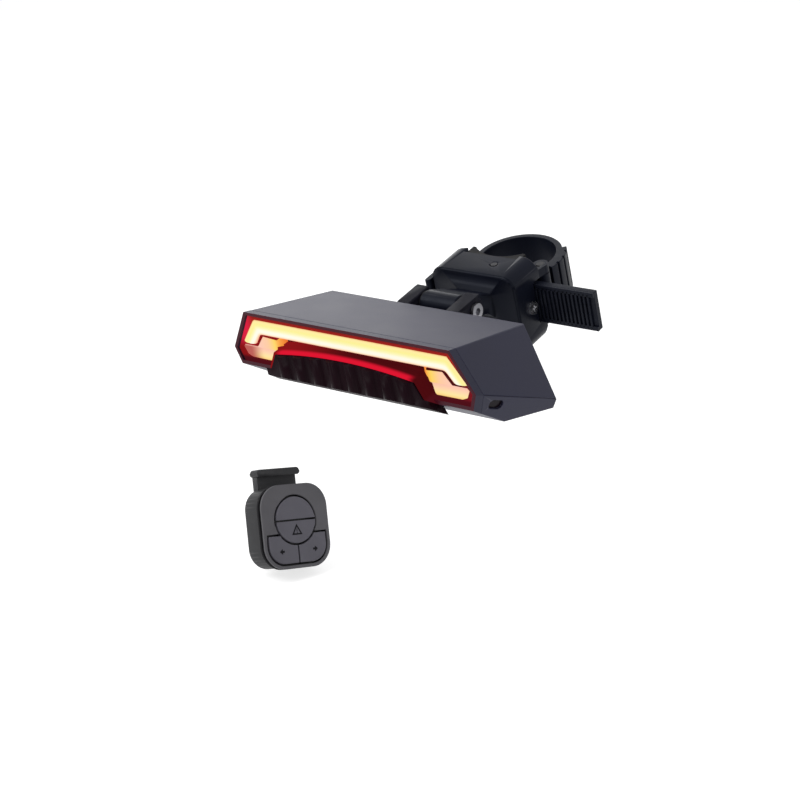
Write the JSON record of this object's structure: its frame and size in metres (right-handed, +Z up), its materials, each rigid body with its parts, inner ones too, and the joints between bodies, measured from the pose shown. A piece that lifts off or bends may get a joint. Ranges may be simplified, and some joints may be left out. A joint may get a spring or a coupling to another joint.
{
  "type": "bicycle turn signal light",
  "caption": "Wide faceted bicycle tail and turn signal lamp with a lit bar, arrows and ribbed grip, tilting on a strapped seat post clamp, with its handlebar remote standing apart.",
  "frame": {"origin": "on the seat post's axis, at the middle of the clamp strap", "axes": "+Z up, the lens faces -Y, +X to the right of someone who looks at the lens; the seat post leans towards -Y at its top"},
  "size_m": [0.2132, 0.1579, 0.1682],
  "materials": {
    "bracket_plastic": "satin moulded",
    "black_rubber": "matte",
    "steel": "bright zinc plated",
    "black_steel": "black oxide",
    "housing_plastic": "fine grained matte",
    "gloss_black": "polished",
    "red_lens": "clear red",
    "bar_guide": "frosted, lit",
    "arrow_guide": "frosted, lit",
    "red_chip": "clear",
    "grip_plastic": "satin",
    "circuit_board": "solder mask",
    "cell_wrap": "shrink wrap on steel",
    "laser_brass": "turned",
    "remote_shell": "fine grained matte",
    "remote_keys": "satin"
  },
  "bodies": {
    "clamp_and_remote": {"clamp_block": "bracket_plastic", "saddle_pads": "black_rubber", "strap": "bracket_plastic", "strap_pin": "black_steel", "lever_pin": "black_steel", "lever_spring": "steel", "spring_screw": "steel", "remote_face": "remote_shell", "remote_case": "remote_shell", "remote_board": "circuit_board", "remote_switches": "steel", "remote_cell": "steel", "remote_cell_door": "remote_shell"},
    "lamp": {"lamp_fork": "bracket_plastic", "fork_screws": "steel", "tilt_bolt": "steel", "tilt_nut": "steel", "friction_washers": "black_rubber", "upper_housing": "housing_plastic", "lower_housing": "housing_plastic", "housing_seal": "black_rubber", "housing_screws": "steel", "front_bezel": "gloss_black", "lens": "red_lens", "light_bar": "bar_guide", "left_arrow_guide": "arrow_guide", "right_arrow_guide": "arrow_guide", "ribbed_grip": "grip_plastic", "reflector": "gloss_black", "led_board": "circuit_board", "red_leds": "red_chip", "amber_leds": "arrow_guide", "battery": "cell_wrap", "control_board": "circuit_board", "usb_socket": "steel", "power_switch": "steel", "laser_modules": "laser_brass", "laser_windows": "gloss_black"},
    "release_lever": {"release_lever": "bracket_plastic"},
    "usb_cover": {"usb_cover": "black_rubber"},
    "power_button": {"power_button": "black_rubber"},
    "remote_upper_button": {"remote_upper_button": "remote_keys"},
    "remote_hazard_button": {"remote_hazard_button": "remote_keys"},
    "remote_left_button": {"remote_left_button": "remote_keys"},
    "remote_right_button": {"remote_right_button": "remote_keys"}
  },
  "joints": [
    {"name": "lamp_tilt", "type": "hinge", "parent": "clamp_and_remote", "child": "lamp", "pos_m": [0, -0.04544, -0.00279], "axis": [1, 0, 0], "range_deg": [-25, 25]},
    {"name": "release_lever_press", "type": "hinge", "parent": "clamp_and_remote", "child": "release_lever", "pos_m": [0.005, -0.01917, -0.00638], "axis": [0, 0.3156, -0.9489], "range_deg": [0, 6], "stiffness_Nm_per_rad": 0.5, "springref_deg": -8.59, "deforming": ["lever_spring"]},
    {"name": "usb_cover_flap", "type": "hinge", "parent": "lamp", "child": "usb_cover", "pos_m": [0.0262, -0.05689, -0.01419], "axis": [1, 0, 0], "range_deg": [0, 100]},
    {"name": "power_button_press", "type": "slide", "parent": "lamp", "child": "power_button", "axis": [0, 0, 1], "range_m": [0, 0.0008], "stiffness_N_per_m": 1000, "springref_m": -0.0003},
    {"name": "remote_upper_button_press", "type": "slide", "parent": "clamp_and_remote", "child": "remote_upper_button", "axis": [-0.9237, 0.1963, -0.3289], "range_m": [0, 0.0006], "stiffness_N_per_m": 1000, "springref_m": -0.0003},
    {"name": "remote_hazard_button_press", "type": "slide", "parent": "clamp_and_remote", "child": "remote_hazard_button", "axis": [-0.9237, 0.1963, -0.3289], "range_m": [0, 0.0006], "stiffness_N_per_m": 1000, "springref_m": -0.0003},
    {"name": "remote_left_button_press", "type": "slide", "parent": "clamp_and_remote", "child": "remote_left_button", "axis": [-0.9237, 0.1963, -0.3289], "range_m": [0, 0.0006], "stiffness_N_per_m": 1000, "springref_m": -0.0003},
    {"name": "remote_right_button_press", "type": "slide", "parent": "clamp_and_remote", "child": "remote_right_button", "axis": [-0.9237, 0.1963, -0.3289], "range_m": [0, 0.0006], "stiffness_N_per_m": 1000, "springref_m": -0.0003}
  ]
}
